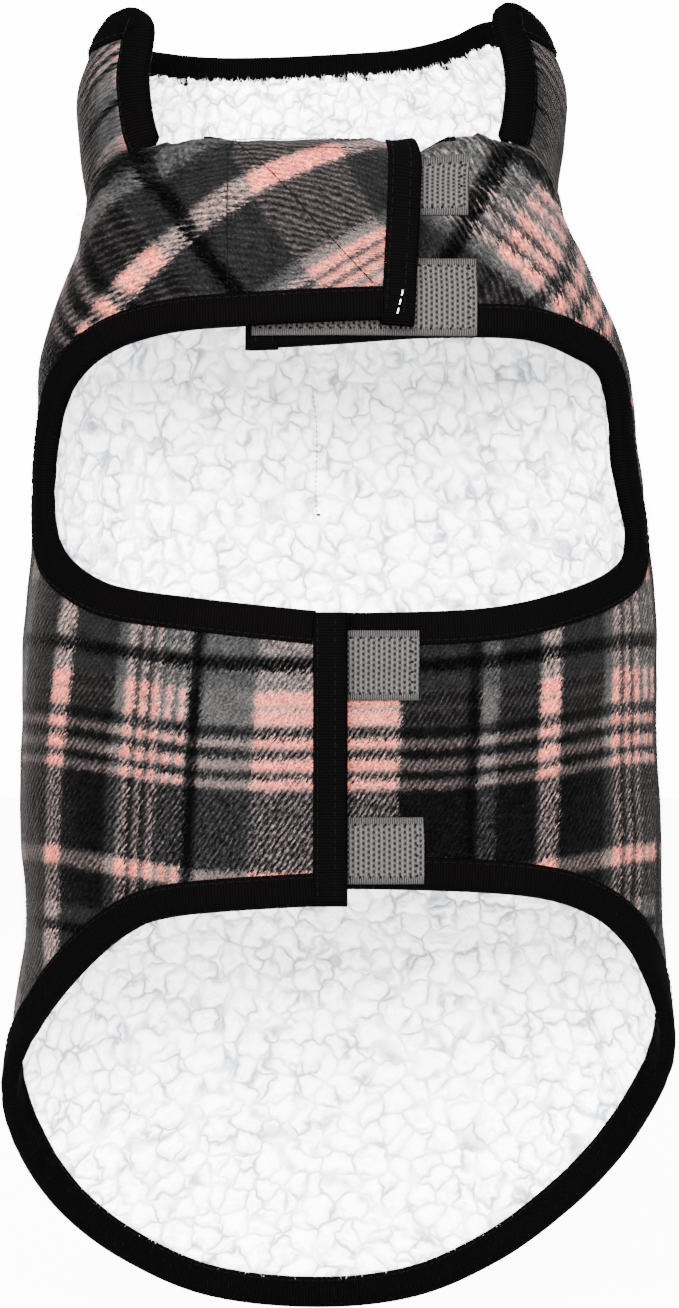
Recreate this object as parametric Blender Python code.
"""Dog winter coat: a hollow, filled-out wrap coat with a stand collar, in millimetres until the end.

+Z runs to the neck, the belly faces -Y and X runs to the right as the belly is looked at.
A place on the cloth has two numbers: `angle`, degrees round the body from the spine (the over
wings have negative angles, the under wings positive), and `up`, millimetres along the body.
"""
import bpy
import numpy as np
from mathutils import Vector
from mathutils.geometry import delaunay_2d_cdt, tessellate_polygon

MM = 0.001

# thickness, as heights over the middle surface of the cloth
SHELL = (0.15, 1.35)
LINING = (-2.35, -0.15)
SEAM_GAP = 0.3
TAPE = 1.0

# binding folded over every free edge
BINDING_WIDTH = 9.8
BINDING_NOSE = 2.2
BINDING_ROOM = 0.7
END_TAPE_REACH = 3.2

# lap of the wings on the belly side
LAP_OVER = 5.4
LAP_UNDER = -2.8
LAP_START = 138.0
LAP_RUN = 20.0
CHEST_TUCK = 3.4
CHEST_OVER_END = (26.3, 27.8)
CHEST_UNDER_END = (-32.2, -32.2)
BELLY_OVER_END = (0.7, 0.7)
BELLY_UNDER_END = (-42.7, -42.7)

# neck seam and the collar's front ends
NECK = 204.0
CHEST_TOP_OVER = -139.9
CHEST_TOP_UNDER = 135.2

# mesh steps
LENGTH_STEP = 15.0
ANGLE_STEP = 8.0
BEND_STEP = 24.0
BACK_ROWS = np.concatenate([np.arange(-242.0, 150.0, 17.0), [166.0, 184.0]])
WING_ROWS = np.concatenate([np.arange(-242.0, 150.0, 17.0), np.arange(154.0, 204.0, 7.6)])
COLLAR_ROWS = np.arange(217.0, 290.0, 14.0)

# body rings: up, z in front, z at the shoulders, z at the sides, z at the back, slant of the
# front, centre x, half width, depth in front, depth of the front's sides, depth of the back
RINGS = np.array([
    (-252.0, -252.0, -252.0, -252.0, -252.0, 0.0, -9.0, 122.0, 56.0, 56.0, 57.0),
    (-200.0, -200.0, -200.0, -200.0, -200.0, 0.0, -4.0, 123.0, 56.0, 56.0, 58.0),
    (-150.0, -150.0, -150.0, -150.0, -150.0, 0.0, 0.5, 122.0, 57.0, 57.0, 58.0),
    (-118.0, -118.0, -118.0, -118.0, -118.0, 0.0, 1.5, 118.5, 58.0, 58.0, 58.0),
    (-60.0, -60.0, -60.0, -60.0, -60.0, 0.0, 0.6, 116.8, 58.0, 58.0, 58.0),
    (0.0, 0.0, 0.0, 0.0, 0.0, 0.0, 0.3, 115.0, 57.5, 57.5, 58.0),
    (40.0, 40.0, 40.0, 40.0, 40.0, 0.0, 0.5, 112.5, 56.0, 56.0, 57.0),
    (80.0, 80.0, 80.0, 80.0, 80.0, 0.0, -1.4, 109.5, 54.0, 54.0, 55.0),
    (110.0, 110.0, 110.0, 110.0, 110.0, 0.0, -2.6, 106.0, 52.0, 52.0, 53.0),
    (130.0, 130.0, 130.0, 130.0, 130.0, 0.0, -3.0, 99.5, 51.0, 51.0, 51.0),
    (150.0, 150.0, 150.0, 149.0, 150.0, 0.0, -4.0, 91.5, 50.0, 50.0, 48.5),
    (164.0, 164.0, 164.0, 156.0, 157.0, 0.8, -5.5, 88.0, 48.5, 49.0, 46.5),
    (177.4, 174.0, 172.0, 159.6, 160.6, 2.0, -6.0, 86.5, 43.0, 47.0, 45.0),
    (190.7, 177.7, 178.5, 162.6, 163.8, 2.8, -6.0, 86.0, 32.0, 44.5, 44.0),
    (204.0, 176.7, 183.5, 165.5, 167.0, 3.0, -6.3, 85.5, 20.0, 43.0, 43.0),
    (210.0, 175.0, 185.5, 166.8, 168.4, 3.0, -6.3, 85.5, 15.0, 42.5, 42.6)])

# rings of the collar above the neck seam, in the same columns
COLLAR_RINGS = np.array([
    (197.0, 170.0, 176.7, 159.4, 160.4, 3.2, -6.3, 85.3, 15.0, 43.0, 43.0),
    (204.0, 176.7, 183.5, 165.5, 167.0, 3.0, -6.3, 85.5, 20.0, 43.0, 43.0),
    (218.0, 191.0, 197.0, 178.0, 181.0, 2.5, -6.3, 87.0, 31.0, 43.0, 43.5),
    (234.0, 207.0, 211.0, 192.0, 196.0, 1.5, -6.3, 88.3, 37.0, 43.0, 44.0),
    (250.0, 222.0, 224.0, 207.0, 210.0, 0.5, -6.3, 88.0, 40.0, 42.5, 45.0),
    (262.0, 233.0, 234.0, 218.0, 219.5, 0.0, -6.3, 84.2, 41.0, 42.0, 45.5),
    (272.0, 241.0, 241.0, 227.0, 227.5, 0.0, -6.3, 79.0, 40.0, 41.0, 45.5),
    (290.0, 256.0, 256.0, 244.0, 244.0, 0.0, -6.3, 72.0, 38.0, 39.0, 45.0)])

# finished edges, each run with the cloth on its left: angle, up
HEM = np.array([
    (-190.0, -89.0), (-169.0, -90.6), (-149.0, -94.4), (-138.0, -101.5), (-122.0, -121.6),
    (-106.0, -143.0), (-90.0, -162.5), (-75.5, -181.7), (-55.0, -210.9), (-38.0, -230.8),
    (-20.0, -245.7), (0.0, -250.5), (18.0, -246.0), (34.0, -231.1), (48.0, -211.6),
    (60.5, -192.2), (74.0, -169.0), (90.0, -145.0), (104.0, -124.0), (118.0, -106.0),
    (130.0, -94.5), (145.0, -87.4), (167.0, -84.6), (190.0, -84.0), (212.0, -84.0)])
LEG_OVER = np.array([
    (-206.0, 119.5), (-185.0, 118.8), (-162.0, 116.8), (-142.0, 114.5), (-128.0, 107.9),
    (-117.5, 97.4), (-111.0, 84.5), (-107.5, 68.0), (-107.5, 52.0), (-112.5, 41.0),
    (-122.0, 32.0), (-134.0, 24.8), (-152.0, 20.3), (-169.0, 16.6), (-190.0, 12.5)])
LEG_UNDER = np.array([
    (212.0, 15.5), (190.0, 15.0), (168.0, 15.2), (150.0, 17.2), (133.0, 23.6),
    (119.0, 30.4), (110.0, 37.0), (107.6, 46.0), (110.6, 58.0), (112.0, 72.0),
    (110.6, 88.0), (113.5, 102.0), (123.0, 107.8), (138.0, 113.6), (160.0, 113.8),
    (182.0, 111.0), (206.0, 109.0)])
COLLAR = np.array([
    (134.8, 197.0), (132.4, 205.0), (130.6, 213.0), (130.0, 227.0), (131.8, 241.5),
    (133.8, 250.0), (133.3, 258.0), (129.8, 264.8), (124.0, 268.3), (114.5, 268.0),
    (101.0, 269.8), (86.0, 276.0), (70.0, 282.0), (54.0, 283.3), (40.0, 278.8),
    (23.0, 274.8), (4.0, 273.0), (-29.0, 270.6), (-52.0, 271.6), (-78.0, 273.5),
    (-95.0, 272.0), (-106.0, 268.6), (-115.5, 266.8), (-122.8, 265.8), (-130.0, 262.2),
    (-134.8, 255.5), (-135.5, 246.0), (-134.2, 234.0), (-135.0, 218.0), (-137.0, 206.0),
    (-138.6, 197.0)])

# inner corners of the collar binding at both ears: angle, up
EAR_CORNERS = np.array([(119.5, 253.0), (-124.5, 250.0)])

# soft folds: angle, up, length, width, turn of the long side from upright, height
FOLDS = np.array([
    (-118.0, -35.0, 60.0, 22.0, 20.0, 2.0),
    (118.0, -20.0, 60.0, 20.0, -15.0, -2.0),
    (-96.0, -100.0, 45.0, 18.0, 35.0, -1.4),
    (95.0, -95.0, 50.0, 18.0, -30.0, -1.2),
    (-40.0, 60.0, 80.0, 26.0, 10.0, 1.6),
    (46.0, 20.0, 90.0, 28.0, -12.0, -1.8),
    (0.0, 120.0, 40.0, 40.0, 90.0, 1.5)])

# tapes of the closure: x from, x to, up from, up to
LOOP_CHEST_UPPER = (-16.0, 46.0, 157.5, 182.5)
LOOP_CHEST_LOWER = (-31.4, 49.0, 114.2, 142.4)
LOOP_BELLY_UPPER = (-28.0, 28.5, -16.6, 8.4)
LOOP_BELLY_LOWER = (-28.0, 30.2, -82.2, -58.4)
HOOK_CHEST_UPPER = (-24.0, 9.0, 158.5, 181.5)
HOOK_CHEST_LOWER = (-24.0, 9.0, 134.5, 147.0)
HOOK_BELLY_UPPER = (-45.0, -14.5, -21.0, -3.0)
HOOK_BELLY_LOWER = (-45.0, -14.5, -73.0, -56.0)

PLAID = (0.115, 0.098, 0.098)
SHERPA = (0.86, 0.86, 0.85)
BLACK = (0.012, 0.012, 0.013)
GREY = (0.20, 0.20, 0.21)


# ---------------------------------------------------------------- the middle surface
def smooth(table, where):
    """Cubic curve through the rows of a table whose first column is the place."""
    place = table[:, 0]
    value = table[:, 1:]
    slope = np.gradient(value, place, axis=0)
    where = np.clip(where, place[0], place[-1])
    row = np.clip(np.searchsorted(place, where) - 1, 0, len(place) - 2)
    run = (place[row + 1] - place[row])[..., None]
    part = (where - place[row])[..., None] / run
    start = value[row] * (2 * part ** 3 - 3 * part ** 2 + 1)
    finish = value[row + 1] * (3 * part ** 2 - 2 * part ** 3)
    leave = slope[row] * run * (part ** 3 - 2 * part ** 2 + part)
    arrive = slope[row + 1] * run * (part ** 3 - part ** 2)
    return start + finish + leave + arrive


def ease(part):
    """Runs from 0 to 1 with level ends."""
    part = np.clip(part, 0.0, 1.0)
    return part * part * (3.0 - 2.0 * part)


def body(angle, up, collar=None):
    """Ring of the body: an ellipse with its own centre, width, depths and tilt."""
    if collar is None:
        collar = up > NECK
    ring = np.where(np.asarray(collar)[..., None], smooth(COLLAR_RINGS, up), smooth(RINGS, up))
    ring = np.moveaxis(ring, -1, 0)
    z_front, z_shoulder, z_side, z_back, slant, centre, half_width = ring[:7]
    front_depth, side_depth, back_depth = ring[7:]
    turn = np.radians(angle)
    ahead = -np.cos(turn)
    middle = ease((ahead - 0.55) / 0.45)
    depth = np.where(ahead > 0, side_depth + (front_depth - side_depth) * middle, back_depth)
    z = z_side + (z_shoulder - z_side) * ease((ahead + 0.15) / 0.8)
    z = z + (z_front - z_shoulder) * ease((ahead - 0.85) / 0.15)
    z = z + (z_back - z_side) * ease(-ahead)
    z = z - slant * np.sin(2 * turn) * np.maximum(ahead, 0.0)
    x = centre + half_width * np.sin(turn)
    return np.stack([x, -ahead * depth, z], -1)


def rise(angle, up):
    """How far the cloth stands off the body: the lap of the wings and the soft folds."""
    lap = np.where(angle < 0, LAP_OVER, LAP_UNDER)
    lap = lap * ease((np.abs(angle) - LAP_START) / LAP_RUN)
    total = np.zeros_like(lap)
    for at_angle, at_up, length, width, lean, height in FOLDS:
        across = (angle - at_angle) * 1.5
        along = up - at_up
        turn = np.radians(lean)
        long_way = along * np.cos(turn) + across * np.sin(turn)
        short_way = across * np.cos(turn) - along * np.sin(turn)
        total = total + height * np.exp(-(long_way / length) ** 2 - (short_way / width) ** 2)
    calm = 1.0 - ease((np.abs(angle) - 128.0) / 20.0)
    tuck = CHEST_TUCK * ease((up - 184.0) / 20.0) * ease((np.abs(angle) - 140.0) / 16.0)
    return lap + total * calm - tuck


def directions(angle, up):
    """Change of place per degree and per millimetre of `up`."""
    collar = np.asarray(up) > NECK
    by_angle = body(angle + 0.5, up, collar) - body(angle - 0.5, up, collar)
    by_up = body(angle, up + 0.5, collar) - body(angle, up - 0.5, collar)
    return by_angle, by_up


def cloth(place, height):
    """Point at a height over the middle surface of the cloth."""
    angle = place[..., 0]
    up = place[..., 1]
    by_angle, by_up = directions(angle, up)
    outward = np.cross(by_up, by_angle)
    outward = outward / np.linalg.norm(outward, axis=-1, keepdims=True)
    return body(angle, up) + outward * (rise(angle, up) + height)[..., None]


def angle_of(x, up, side):
    """Angle of the belly side's place at x, on the over wings (-1) or the under wings (1)."""
    ring = smooth(RINGS, np.asarray(up, float))
    turn = np.degrees(np.arcsin((x - ring[..., 5]) / ring[..., 6]))
    return side * 180.0 - turn


# ---------------------------------------------------------------- edges
class Edge:
    """Stations along a free edge: their places, and the step into the cloth per millimetre."""

    def __init__(self, at, into):
        self.at = at
        self.into = into
        self.inner = at + into * BINDING_WIDTH


def to_cloth(place, tangent):
    """One millimetre square to a run, to its left."""
    by_angle, by_up = directions(place[:, 0], place[:, 1])
    aa = (by_angle * by_angle).sum(-1)
    au = (by_angle * by_up).sum(-1)
    uu = (by_up * by_up).sum(-1)
    left = np.stack([-tangent[:, 1], tangent[:, 0]], -1)
    area = aa * uu - au * au
    first = (uu * left[:, 0] - au * left[:, 1]) / area
    second = (aa * left[:, 1] - au * left[:, 0]) / area
    step = np.stack([first, second], -1)
    size = np.sqrt((step * left).sum(-1))
    return step / size[:, None]


def dense_run(table):
    """Close points of the smooth curve through a table's corners, moved in by the nose."""
    number = np.arange(len(table), dtype=float)
    fine = np.linspace(0.0, number[-1], 40 * (len(table) - 1) + 1)
    run = smooth(np.column_stack([number, table]), fine)
    return run + to_cloth(run, np.gradient(run, axis=0)) * BINDING_NOSE


def length_along(run):
    """Distance along a run from its start."""
    spots = body(run[:, 0], run[:, 1])
    return np.concatenate([[0.0], np.cumsum(np.linalg.norm(np.diff(spots, axis=0), axis=1))])


def point_at(run, length, distance):
    """Places at distances along a run."""
    return np.column_stack([np.interp(distance, length, run[:, 0]),
                            np.interp(distance, length, run[:, 1])])


def spread(run, length, start, finish, step):
    """Distances of even stations between two distances."""
    turn = np.abs(np.gradient(run[:, 0])) / ANGLE_STEP
    far = np.gradient(length) / step
    change = np.gradient(run, axis=0)
    heading = np.unwrap(np.arctan2(change[:, 1], 1.3 * change[:, 0]))
    bend = np.abs(np.gradient(heading)) / np.radians(BEND_STEP)
    measure = np.cumsum(np.maximum(np.maximum(turn, far), bend))
    first = np.interp(start, length, measure)
    last = np.interp(finish, length, measure)
    count = max(2, int(np.ceil(last - first)) + 1)
    return np.interp(np.linspace(first, last, count), measure, length)


def end_angle(ends, side, up, low, high):
    """Angle of a wing's end line at a height."""
    part = np.clip((up - low) / (high - low), 0.0, 1.0)
    return angle_of(ends[0] + (ends[1] - ends[0]) * part, up, side)


def cut_at_line(run, line):
    """Drops the part of a run past an end line, given as a function that is negative past it."""
    keep = line(run[:, 0], run[:, 1])
    inside = np.flatnonzero(keep > 0)
    first, last = inside[0], inside[-1]
    points = [run[first:last + 1]]
    for near, far, front in ((first, first - 1, True), (last, last + 1, False)):
        if 0 <= far < len(run):
            part = keep[near] / (keep[near] - keep[far])
            extra = run[near] + (run[far] - run[near]) * part
            points = [extra[None]] + points if front else points + [extra[None]]
    return np.concatenate(points)


def along_line(start, ends, side, low, high, sign):
    """Mean step of one millimetre over the binding's width along a wing's end line."""
    place = start
    for _ in range(4):
        upper = end_angle(ends, side, place[1] + 1.0, low, high)
        lower = end_angle(ends, side, place[1] - 1.0, low, high)
        step = np.array([(upper - lower) / 2.0, 1.0]) * sign
        by_angle, by_up = directions(place[0], place[1])
        true_size = np.linalg.norm(by_angle * step[0] + by_up * step[1])
        place = place + step / true_size * BINDING_WIDTH / 4
    return (place - start) / BINDING_WIDTH


def make_edge(run, start_step=None, finish_step=None, step=LENGTH_STEP):
    """Stations along a run.  A wing's end takes one whole cell of the binding's width."""
    length = length_along(run)
    total = length[-1]
    start = BINDING_WIDTH if start_step is not None else 0.0
    finish = total - BINDING_WIDTH if finish_step is not None else total
    distance = spread(run, length, start, finish, step)
    if start_step is not None:
        distance = np.concatenate([[0.0], distance])
    if finish_step is not None:
        distance = np.concatenate([distance, [total]])
    at = point_at(run, length, distance)
    ahead = point_at(run, length, np.clip(distance + 0.5, 0, total))
    behind = point_at(run, length, np.clip(distance - 0.5, 0, total))
    inner = at
    for _ in range(4):
        inner = inner + to_cloth(inner, ahead - behind) * BINDING_WIDTH / 4
    into = (inner - at) / BINDING_WIDTH
    if start_step is not None:
        into[:2] = start_step
    if finish_step is not None:
        into[-2:] = finish_step
    return Edge(at, into)


def round_ears(edge):
    """Steps into the cloth with both ears' inner corners drawn together."""
    into = edge.into.copy()
    for corner in EAR_CORNERS:
        side = np.sign(corner[0])
        out = side * (edge.at[:, 0] - corner[0]) > 0
        high = edge.at[:, 1] > corner[1]
        inner_out = side * (edge.inner[:, 0] - corner[0]) > -1.0
        inner_high = edge.inner[:, 1] > corner[1] - 1.5
        zone = np.flatnonzero((out & high) | (inner_out & inner_high))
        inner = corner + 0.04 * (edge.at[zone] - edge.at[zone].mean(axis=0))
        into[zone] = (inner - edge.at[zone]) / BINDING_WIDTH
    return into


def make_end(first, second, ends, side, low, high, step):
    """End of a wing, from the corner that closes one edge to the corner that opens the next."""
    top = first.inner[-1]
    foot = second.inner[0]
    count = max(1, int(round(abs(top[1] - foot[1]) / step)))
    ups = np.linspace(top[1], foot[1], count + 1)[1:-1]
    middle = np.column_stack([end_angle(ends, side, ups, low, high), ups])
    at = np.concatenate([[first.at[-1], top], middle, [foot, second.at[0]]])
    start_shift = first.inner[-2] - top
    finish_shift = second.inner[1] - foot
    part = ((ups - top[1]) / (foot[1] - top[1]))[:, None]
    shift = start_shift + (finish_shift - start_shift) * part
    inner = np.concatenate([[first.at[-2], first.inner[-2]], middle + shift,
                            [second.inner[1], second.at[1]]])
    return Edge(at, (inner - at) / BINDING_WIDTH)


# ---------------------------------------------------------------- flat patterns
def inside_outline(points, outline):
    """Which points lie inside a closed outline."""
    result = np.zeros(len(points), bool)
    following = np.roll(outline, -1, axis=0)
    for a, b in zip(outline, following):
        crosses = (a[1] > points[:, 1]) != (b[1] > points[:, 1])
        rise_of_side = np.where(crosses, b[1] - a[1], 1.0)
        reach = a[0] + (points[:, 1] - a[1]) * (b[0] - a[0]) / rise_of_side
        result ^= crosses & (points[:, 0] < reach)
    return result


def distance_to(points, run, closed=False):
    """Least true distance of points from a run."""
    by_angle, by_up = directions(points[:, 0], points[:, 1])
    scale = np.column_stack([np.linalg.norm(by_angle, axis=1), np.linalg.norm(by_up, axis=1)])
    following = np.roll(run, -1, axis=0) if closed else run[1:]
    least = np.full(len(points), 1e9)
    for a, b in zip(run, following):
        start = (a - points) * scale
        side = (b - a) * scale
        part = np.clip(-(start * side).sum(1) / np.maximum((side * side).sum(1), 1e-9), 0, 1)
        least = np.minimum(least, np.linalg.norm(start + side * part[:, None], axis=1))
    return least


def cut_pattern(outline, strips, rows, marks=(), pulls=()):
    """Triangles of a flat piece.  Strips keep the binding's cells, marks keep a tape's cells,
    and pulls draw a side back from its neighbour by half a seam."""
    points = []
    numbers = {}

    def number(place):
        key = (round(place[0] * 1000), round(place[1] * 1000))
        if key not in numbers:
            numbers[key] = len(points)
            points.append(tuple(place))
        return numbers[key]

    sides = []
    loop = [number(place) for place in outline]
    loop = [here for here, before in zip(loop, [loop[-1]] + loop[:-1]) if here != before]
    for edge, first, last in strips:
        for k in range(first, last):
            sides.append((number(edge.at[k]), number(edge.inner[k])))
            sides.append((number(edge.inner[k]), number(edge.inner[k + 1])))
            sides.append((number(edge.at[k]), number(edge.inner[k + 1])))
        sides.append((number(edge.at[last]), number(edge.inner[last])))
    for grid in marks:
        for i in range(grid.shape[0]):
            for j in range(grid.shape[1]):
                if i + 1 < grid.shape[0]:
                    sides.append((number(grid[i, j]), number(grid[i + 1, j])))
                if j + 1 < grid.shape[1]:
                    sides.append((number(grid[i, j]), number(grid[i, j + 1])))
                if i + 1 < grid.shape[0] and j + 1 < grid.shape[1]:
                    sides.append((number(grid[i, j]), number(grid[i + 1, j + 1])))
    angles = np.arange(-208.0, 209.0, ANGLE_STEP)
    lattice = np.stack(np.meshgrid(angles, rows), -1).reshape(-1, 2)
    keep = inside_outline(lattice, np.array([points[k] for k in loop]))
    keep &= distance_to(lattice, outline, True) > 4.5
    for edge, first, last in strips:
        keep &= distance_to(lattice, edge.at[first:last + 1]) > BINDING_WIDTH + 4.5
    for grid in marks:
        low = grid.min(axis=(0, 1)) - (2.5, 4.0)
        high = grid.max(axis=(0, 1)) + (2.5, 4.0)
        keep &= ~((lattice > low) & (lattice < high)).all(axis=1)
    for place in lattice[keep]:
        number(place)
    flat = [Vector((1.5 * angle, up)) for angle, up in points]
    result = delaunay_2d_cdt(flat, sides, [loop], 1, 1e-5)
    made = np.array([(v[0] / 1.5, v[1]) for v in result[0]])
    faces = [tuple(face) for face in result[2]]
    for run, shift in pulls:
        for place in run:
            gap = np.abs(made - place).max(axis=1)
            k = int(gap.argmin())
            by_angle, _ = directions(made[k, 0], made[k, 1])
            made[k, 0] += shift / np.linalg.norm(by_angle)
    return made, faces


# ---------------------------------------------------------------- solids
def add_node(name, points, faces, colour, roughness):
    """One closed object from millimetre points, with its faces outwards."""
    points = np.asarray(points)
    corners = points[np.array(faces)]
    volume = np.einsum("ij,ij->i", corners[:, 0], np.cross(corners[:, 1], corners[:, 2])).sum()
    if volume < 0:
        faces = [face[::-1] for face in faces]
    mesh = bpy.data.meshes.new(name)
    mesh.from_pydata((points * MM).tolist(), [], [list(face) for face in faces])
    mesh.update()
    node = bpy.data.objects.new(name, mesh)
    bpy.context.scene.collection.objects.link(node)
    material = bpy.data.materials.new(name + "_cloth")
    material.use_nodes = True
    shader = material.node_tree.nodes["Principled BSDF"]
    shader.inputs["Base Color"].default_value = (*colour, 1.0)
    shader.inputs["Roughness"].default_value = roughness
    shader.inputs["Metallic"].default_value = 0.0
    mesh.materials.append(material)
    return node


def slab(name, places, faces, low, high, colour, roughness):
    """Sheet between two heights, closed by walls round its border."""
    places = np.asarray(places)
    low = np.broadcast_to(low, len(places))
    high = np.broadcast_to(high, len(places))
    points = np.concatenate([cloth(places, low), cloth(places, high)])
    count = len(places)
    directed = set()
    for a, b, c in faces:
        directed |= {(a, b), (b, c), (c, a)}
    solid = [(a, b, c) for a, b, c in faces]
    solid += [(c + count, b + count, a + count) for a, b, c in faces]
    for a, b in directed:
        if (b, a) not in directed:
            solid.append((b, a, a + count))
            solid.append((b, a + count, b + count))
    return add_node(name, points, solid, colour, roughness)


SECTION = np.array([
    (BINDING_WIDTH, SHELL[1] + SEAM_GAP + TAPE),
    (0.0, SHELL[1] + SEAM_GAP + TAPE),
    (-0.7 * BINDING_NOSE, 0.75 * SHELL[1] + TAPE),
    (-BINDING_NOSE, -0.5),
    (-0.7 * BINDING_NOSE, 0.85 * LINING[0] - TAPE),
    (0.0, LINING[0] - SEAM_GAP - TAPE),
    (BINDING_WIDTH, LINING[0] - SEAM_GAP - TAPE),
    (BINDING_WIDTH, LINING[0] - SEAM_GAP),
    (-BINDING_ROOM, LINING[0] - SEAM_GAP),
    (-BINDING_ROOM, SHELL[1] + SEAM_GAP),
    (BINDING_WIDTH, SHELL[1] + SEAM_GAP)])


def band(name, at, into, reach=0.0):
    """Folded tape along stations of an edge, reaching straight on past both ends."""
    points = []
    outward = cloth(at, 0.0 * at[:, 0]) - cloth(at + into, 0.0 * at[:, 0])
    outward = outward / np.linalg.norm(outward, axis=1, keepdims=True)
    for depth, height in SECTION:
        level = np.full(len(at), height)
        if depth < 0:
            points.append(cloth(at, level) - outward * depth)
        else:
            points.append(cloth(at + into * depth, level))
    points = np.stack(points, 1)
    if reach:
        part = reach / BINDING_WIDTH
        before = points[:1] + (points[:1] - points[1:2]) * part
        after = points[-1:] + (points[-1:] - points[-2:-1]) * part
        points = np.concatenate([before, points, after])
    stations, around = points.shape[:2]
    faces = []
    for k in range(stations - 1):
        for j in range(around):
            following = (j + 1) % around
            a = k * around + j
            b = k * around + following
            c = a + around
            d = b + around
            if SECTION[j, 0] > SECTION[following, 0]:
                faces += [(a, b, c), (b, d, c)]
            else:
                faces += [(a, b, d), (a, d, c)]
    flat = [Vector((depth, height, 0.0)) for depth, height in SECTION]
    cap = tessellate_polygon([flat])
    final = (stations - 1) * around
    facing = np.sign(sum(SECTION[j, 0] * SECTION[(j + 1) % around, 1]
                         - SECTION[(j + 1) % around, 0] * SECTION[j, 1] for j in range(around)))
    for triangle in cap:
        p, q, r = (SECTION[j] for j in triangle)
        turn = np.sign((q[0] - p[0]) * (r[1] - p[1]) - (r[0] - p[0]) * (q[1] - p[1]))
        ordered = triangle if turn == facing else triangle[::-1]
        faces.append(tuple(ordered[::-1]))
        faces.append(tuple(final + j for j in ordered))
    return add_node(name, points.reshape(-1, 3), faces, BLACK, 0.8)


def short_of(edge, first, last):
    """Stations from one to another, each end one seam short of its station."""
    at = edge.at[first:last + 1].copy()
    into = edge.into[first:last + 1].copy()
    for here, near in ((0, 1), (-1, -2)):
        size = length_along(np.array([at[here], at[near]]))[-1]
        part = SEAM_GAP / size
        at[here] = at[here] + (at[near] - at[here]) * part
        into[here] = into[here] + (into[near] - into[here]) * part
    return at, into


def tape_grid(size, side, step=10.0):
    """Places of a rectangular tape, rows from low to high."""
    x_low, x_high, up_low, up_high = size
    xs = np.linspace(x_low, x_high, int(round((x_high - x_low) / step)) + 1)
    ups = np.linspace(up_low, up_high, max(2, int(round((up_high - up_low) / 6.2))) + 1)
    x, up = np.meshgrid(xs, ups)
    return np.stack([angle_of(x, up, side), up], -1)


def tape(name, grid, height, colour, outside):
    """Tape lying on a cloth face, from the cloth's own places moved out."""
    rows, columns = grid.shape[:2]
    faces = []
    for i in range(rows - 1):
        for j in range(columns - 1):
            a = i * columns + j
            c = a + columns
            faces += [(a, c + 1, c), (a, a + 1, c + 1)]
    places = grid.reshape(-1, 2)
    near = np.broadcast_to(height, grid.shape[:2]).reshape(-1)
    low, high = (near, near + TAPE) if outside else (near - TAPE, near)
    return slab(name, places, faces, low, high, colour, 0.75)


def straight(start, finish, step=15.5):
    """Even places on a straight run, without its two ends."""
    count = max(1, int(round(abs(finish[1] - start[1]) / step)))
    return start + (finish - start) * (np.arange(1, count) / count)[:, None]


def nearest(edge, angle, up):
    """Number of the station nearest to a place."""
    gap = np.hypot((edge.at[:, 0] - angle) * 1.3, edge.at[:, 1] - up)
    return int(gap.argmin())


def collar_foot(angle):
    """Lower edge of the collar; it clears the chest's fold near the front ends."""
    return NECK + 0.8 + 1.2 * ease((np.abs(angle) - 100.0) / 30.0)


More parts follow.
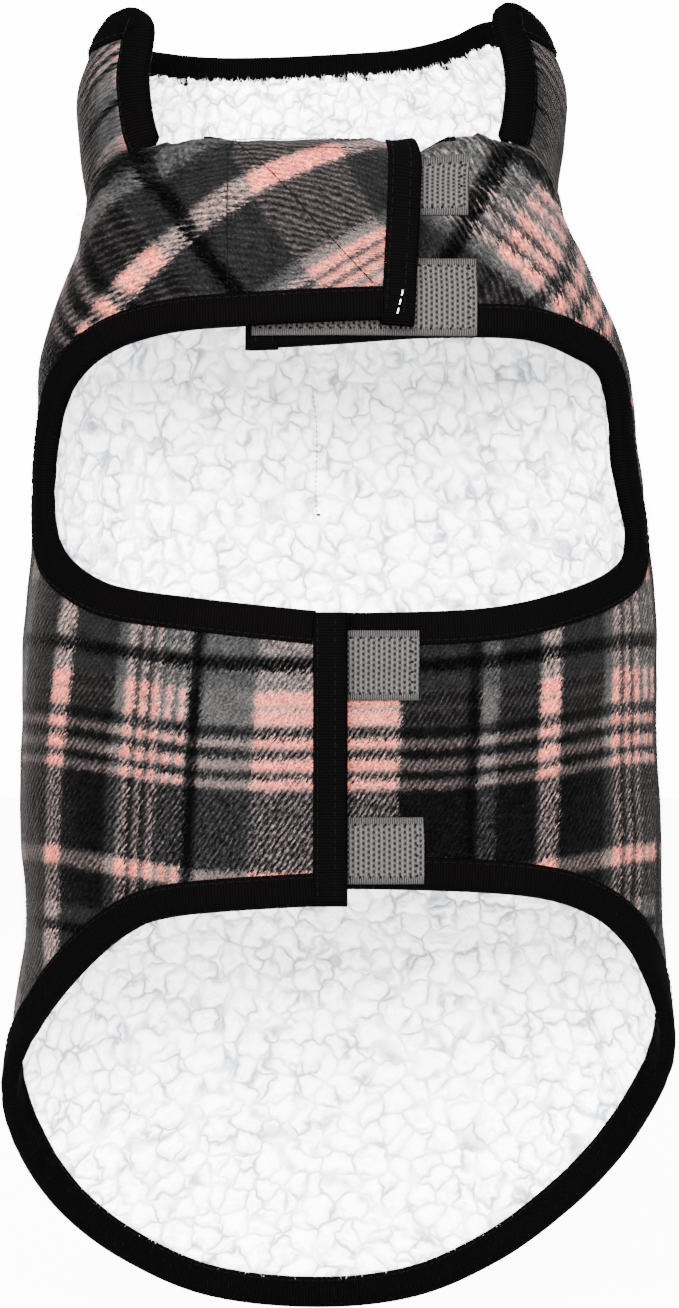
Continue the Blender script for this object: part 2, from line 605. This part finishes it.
# ---------------------------------------------------------------- the coat
def main():
    for old in list(bpy.data.objects):
        bpy.data.objects.remove(old, do_unlink=True)

    chest_low, belly_low = 118.0, -86.0
    ends = {"chest_over": (CHEST_OVER_END, -1, chest_low, NECK),
            "chest_under": (CHEST_UNDER_END, 1, chest_low, NECK),
            "belly_over": (BELLY_OVER_END, -1, belly_low, 14.0),
            "belly_under": (BELLY_UNDER_END, 1, belly_low, 14.0)}

    def past(over, wing):
        line, side, low, high = ends[wing]
        return side * (end_angle(line, side, over[1], low, high) - over[0])

    def leg_run(table, side, first_wing, second_wing):
        run = dense_run(table)
        middle = (run[:, 1].min() + run[:, 1].max()) / 2

        def inside(angle, up):
            chest = first_wing if side < 0 else second_wing
            belly = second_wing if side < 0 else first_wing
            return np.where(up > middle, past((angle, up), chest), past((angle, up), belly))
        return cut_at_line(run, inside)

    def corner_step(run, index, wing, sign):
        line, side, low, high = ends[wing]
        return along_line(run[index], line, side, low, high, sign)

    hem_run = dense_run(HEM)
    hem_run = cut_at_line(hem_run, lambda angle, up: np.where(
        angle < 0, past((angle, up), "belly_over"), past((angle, up), "belly_under")))
    hem = make_edge(hem_run, corner_step(hem_run, 0, "belly_over", 1),
                    corner_step(hem_run, -1, "belly_under", 1))
    over_run = leg_run(LEG_OVER, -1, "chest_over", "belly_over")
    leg_over = make_edge(over_run, corner_step(over_run, 0, "chest_over", 1),
                         corner_step(over_run, -1, "belly_over", -1))
    under_run = leg_run(LEG_UNDER, 1, "belly_under", "chest_under")
    leg_under = make_edge(under_run, corner_step(under_run, 0, "belly_under", -1),
                          corner_step(under_run, -1, "chest_under", 1))
    chest_edge = NECK - SEAM_GAP / 2
    over_end = end_angle(CHEST_OVER_END, -1, chest_edge, chest_low, NECK)
    under_end = end_angle(CHEST_UNDER_END, 1, chest_edge, chest_low, NECK)
    over_top = np.column_stack([np.linspace(CHEST_TOP_OVER, over_end, 200),
                                np.full(200, chest_edge)])
    under_top = np.column_stack([np.linspace(under_end, CHEST_TOP_UNDER, 200),
                                 np.full(200, chest_edge)])
    top_over = make_edge(over_top, None, corner_step(over_top, -1, "chest_over", -1))
    top_under = make_edge(under_top, corner_step(under_top, 0, "chest_under", -1), None)

    collar_run = dense_run(COLLAR)
    collar_run = cut_at_line(collar_run, lambda angle, up: up - collar_foot(angle))
    collar = make_edge(collar_run)
    for k, sign in ((0, -1.0), (-1, 1.0)):
        by_angle, _ = directions(collar.at[k, 0], collar.at[k, 1])
        collar.into[k] = (sign / np.linalg.norm(by_angle), 0.0)
    collar = Edge(collar.at, round_ears(collar))

    end_edges = {
        "chest_over": make_end(top_over, leg_over, *ends["chest_over"], 8.0),
        "belly_over": make_end(leg_over, hem, *ends["belly_over"], 15.0),
        "belly_under": make_end(hem, leg_under, *ends["belly_under"], 15.0),
        "chest_under": make_end(leg_under, top_under, *ends["chest_under"], 8.0)}

    # side lines where the wings leave the back
    chest_left = nearest(leg_over, -119.0, 99.0)
    belly_left = nearest(leg_over, -121.0, 33.0)
    belly_right = nearest(leg_under, 120.0, 30.0)
    chest_right = nearest(leg_under, 119.0, 106.0)
    hem_left = nearest(hem, -116.0, -128.0)
    hem_right = nearest(hem, 116.0, -108.0)
    left_top = np.array([leg_over.inner[chest_left][0] + 1.0, chest_edge])
    right_top = np.array([leg_under.inner[chest_right][0] - 1.0, chest_edge])

    def side_line(low, high):
        return np.concatenate([[low], straight(low, high), [high]])

    chest_left_line = side_line(leg_over.inner[chest_left], left_top)
    chest_right_line = side_line(leg_under.inner[chest_right], right_top)
    belly_left_line = side_line(hem.inner[hem_left], leg_over.inner[belly_left])
    belly_right_line = side_line(hem.inner[hem_right], leg_under.inner[belly_right])

    def seam_row(first, last, up):
        step = ANGLE_STEP if last > first else -ANGLE_STEP
        start = np.ceil(first / step) * step
        angles = np.arange(start, last, step)
        angles = angles[(np.abs(angles - first) > 2.0) & (np.abs(angles - last) > 2.0)]
        return np.column_stack([angles, np.full(len(angles), up)])

    half = SEAM_GAP / 2 * 1.2
    upper_loop = tape_grid(LOOP_CHEST_UPPER, 1)
    belly_hooks = [tape_grid(HOOK_BELLY_UPPER, -1), tape_grid(HOOK_BELLY_LOWER, -1)]
    chest_hooks = [tape_grid(HOOK_CHEST_UPPER, -1), tape_grid(HOOK_CHEST_LOWER, -1)]

    def cells(edge, first, last):
        return edge, first, last

    back = cut_pattern(
        np.concatenate([
            hem.at[hem_left:hem_right + 1], belly_right_line,
            leg_under.at[belly_right:chest_right + 1], chest_right_line,
            seam_row(right_top[0], left_top[0], chest_edge), chest_left_line[::-1],
            leg_over.at[chest_left:belly_left + 1], belly_left_line[::-1]]),
        [cells(hem, hem_left, hem_right), cells(leg_under, belly_right, chest_right),
         cells(leg_over, chest_left, belly_left)], BACK_ROWS,
        pulls=[(np.concatenate([[hem.at[hem_left]], belly_left_line,
                                [leg_over.at[belly_left]]]), half),
               (np.concatenate([[leg_over.at[chest_left]], chest_left_line]), half),
               (np.concatenate([[hem.at[hem_right]], belly_right_line,
                                [leg_under.at[belly_right]]]), -half),
               (np.concatenate([[leg_under.at[chest_right]], chest_right_line]), -half)])

    last_top = len(top_over.at) - 1
    end = end_edges["chest_over"]
    chest_over = cut_pattern(
        np.concatenate([
            leg_over.at[:chest_left + 1], chest_left_line,
            seam_row(left_top[0], CHEST_TOP_OVER, chest_edge), top_over.at, end.at]),
        [cells(leg_over, 1, chest_left), cells(top_over, 0, last_top - 1),
         cells(end, 0, len(end.at) - 1)], WING_ROWS, chest_hooks,
        [(np.concatenate([[leg_over.at[chest_left]], chest_left_line]), -half)])

    end = end_edges["chest_under"]
    last_leg = len(leg_under.at) - 1
    chest_under = cut_pattern(
        np.concatenate([
            leg_under.at[chest_right:], end.at, top_under.at,
            seam_row(CHEST_TOP_UNDER, right_top[0], chest_edge), chest_right_line[::-1]]),
        [cells(leg_under, chest_right, last_leg - 1), cells(end, 0, len(end.at) - 1),
         cells(top_under, 1, len(top_under.at) - 1)], WING_ROWS, [upper_loop],
        [(np.concatenate([[leg_under.at[chest_right]], chest_right_line]), half)])

    end = end_edges["belly_over"]
    last_leg = len(leg_over.at) - 1
    belly_over = cut_pattern(
        np.concatenate([
            hem.at[:hem_left + 1], belly_left_line, leg_over.at[belly_left:], end.at]),
        [cells(hem, 1, hem_left), cells(leg_over, belly_left, last_leg - 1),
         cells(end, 0, len(end.at) - 1)], WING_ROWS, belly_hooks,
        [(np.concatenate([[hem.at[hem_left]], belly_left_line,
                          [leg_over.at[belly_left]]]), -half)])

    end = end_edges["belly_under"]
    last_hem = len(hem.at) - 1
    belly_under = cut_pattern(
        np.concatenate([
            hem.at[hem_right:], end.at, leg_under.at[:belly_right + 1],
            belly_right_line[::-1]]),
        [cells(hem, hem_right, last_hem - 1), cells(end, 0, len(end.at) - 1),
         cells(leg_under, 1, belly_right)], WING_ROWS, (),
        [(np.concatenate([[hem.at[hem_right]], belly_right_line,
                          [leg_under.at[belly_right]]]), half)])

    foot_row = seam_row(collar.inner[-1][0], collar.inner[0][0], NECK)
    foot_row[:, 1] = collar_foot(foot_row[:, 0])
    collar_piece = cut_pattern(
        np.concatenate([
            collar.at, collar.inner[-1:],
            foot_row,
            collar.inner[:1]]),
        [cells(collar, 0, len(collar.at) - 1)], COLLAR_ROWS)

    patterns = {"back": back, "chest_over": chest_over, "chest_under": chest_under,
                "belly_over": belly_over, "belly_under": belly_under, "collar": collar_piece}
    for piece, (places, faces) in patterns.items():
        slab("shell_" + piece, places, faces, *SHELL, PLAID, 0.85)
        slab("lining_" + piece, places, faces, *LINING, SHERPA, 0.95)

    band("binding_hem", *short_of(hem, 1, last_hem - 1))
    band("binding_leg_over", *short_of(leg_over, 1, len(leg_over.at) - 2))
    band("binding_leg_under", *short_of(leg_under, 1, len(leg_under.at) - 2))
    band("binding_chest_over", *short_of(top_over, 0, last_top - 1))
    band("binding_chest_under", *short_of(top_under, 1, len(top_under.at) - 1))
    band("binding_collar", *short_of(collar, 0, len(collar.at) - 1))
    for wing, edge in end_edges.items():
        band("end_" + wing, edge.at, edge.into, END_TAPE_REACH)

    flat_height = SHELL[1] + SEAM_GAP
    raised = TAPE + SEAM_GAP
    tape("loop_chest_upper", upper_loop, flat_height, GREY, True)

    grid = tape_grid(LOOP_CHEST_LOWER, 1)
    over_lip = 1.0 - ease((grid[..., 1] - 131.0) / 6.0)
    over_end_tape = ease((grid[..., 0] - angle_of(-12.0, grid[..., 1], 1)) / 4.0)
    tape("loop_chest_lower", grid, flat_height + raised * np.maximum(over_lip, over_end_tape),
         GREY, True)
    grid = tape_grid(LOOP_BELLY_UPPER, 1)
    over_lip = ease((grid[..., 1] + 8.5) / 6.0)
    tape("loop_belly_upper", grid, flat_height + raised * over_lip, GREY, True)
    grid = tape_grid(LOOP_BELLY_LOWER, 1)
    over_lip = 1.0 - ease((grid[..., 1] + 67.0) / 6.0)
    tape("loop_belly_lower", grid, flat_height + raised * over_lip, GREY, True)
    under = LINING[0] - SEAM_GAP
    tape("hook_chest_upper", chest_hooks[0], under, BLACK, False)
    tape("hook_chest_lower", chest_hooks[1], under, BLACK, False)
    tape("hook_belly_upper", belly_hooks[0], under, BLACK, False)
    tape("hook_belly_lower", belly_hooks[1], under, BLACK, False)


main()
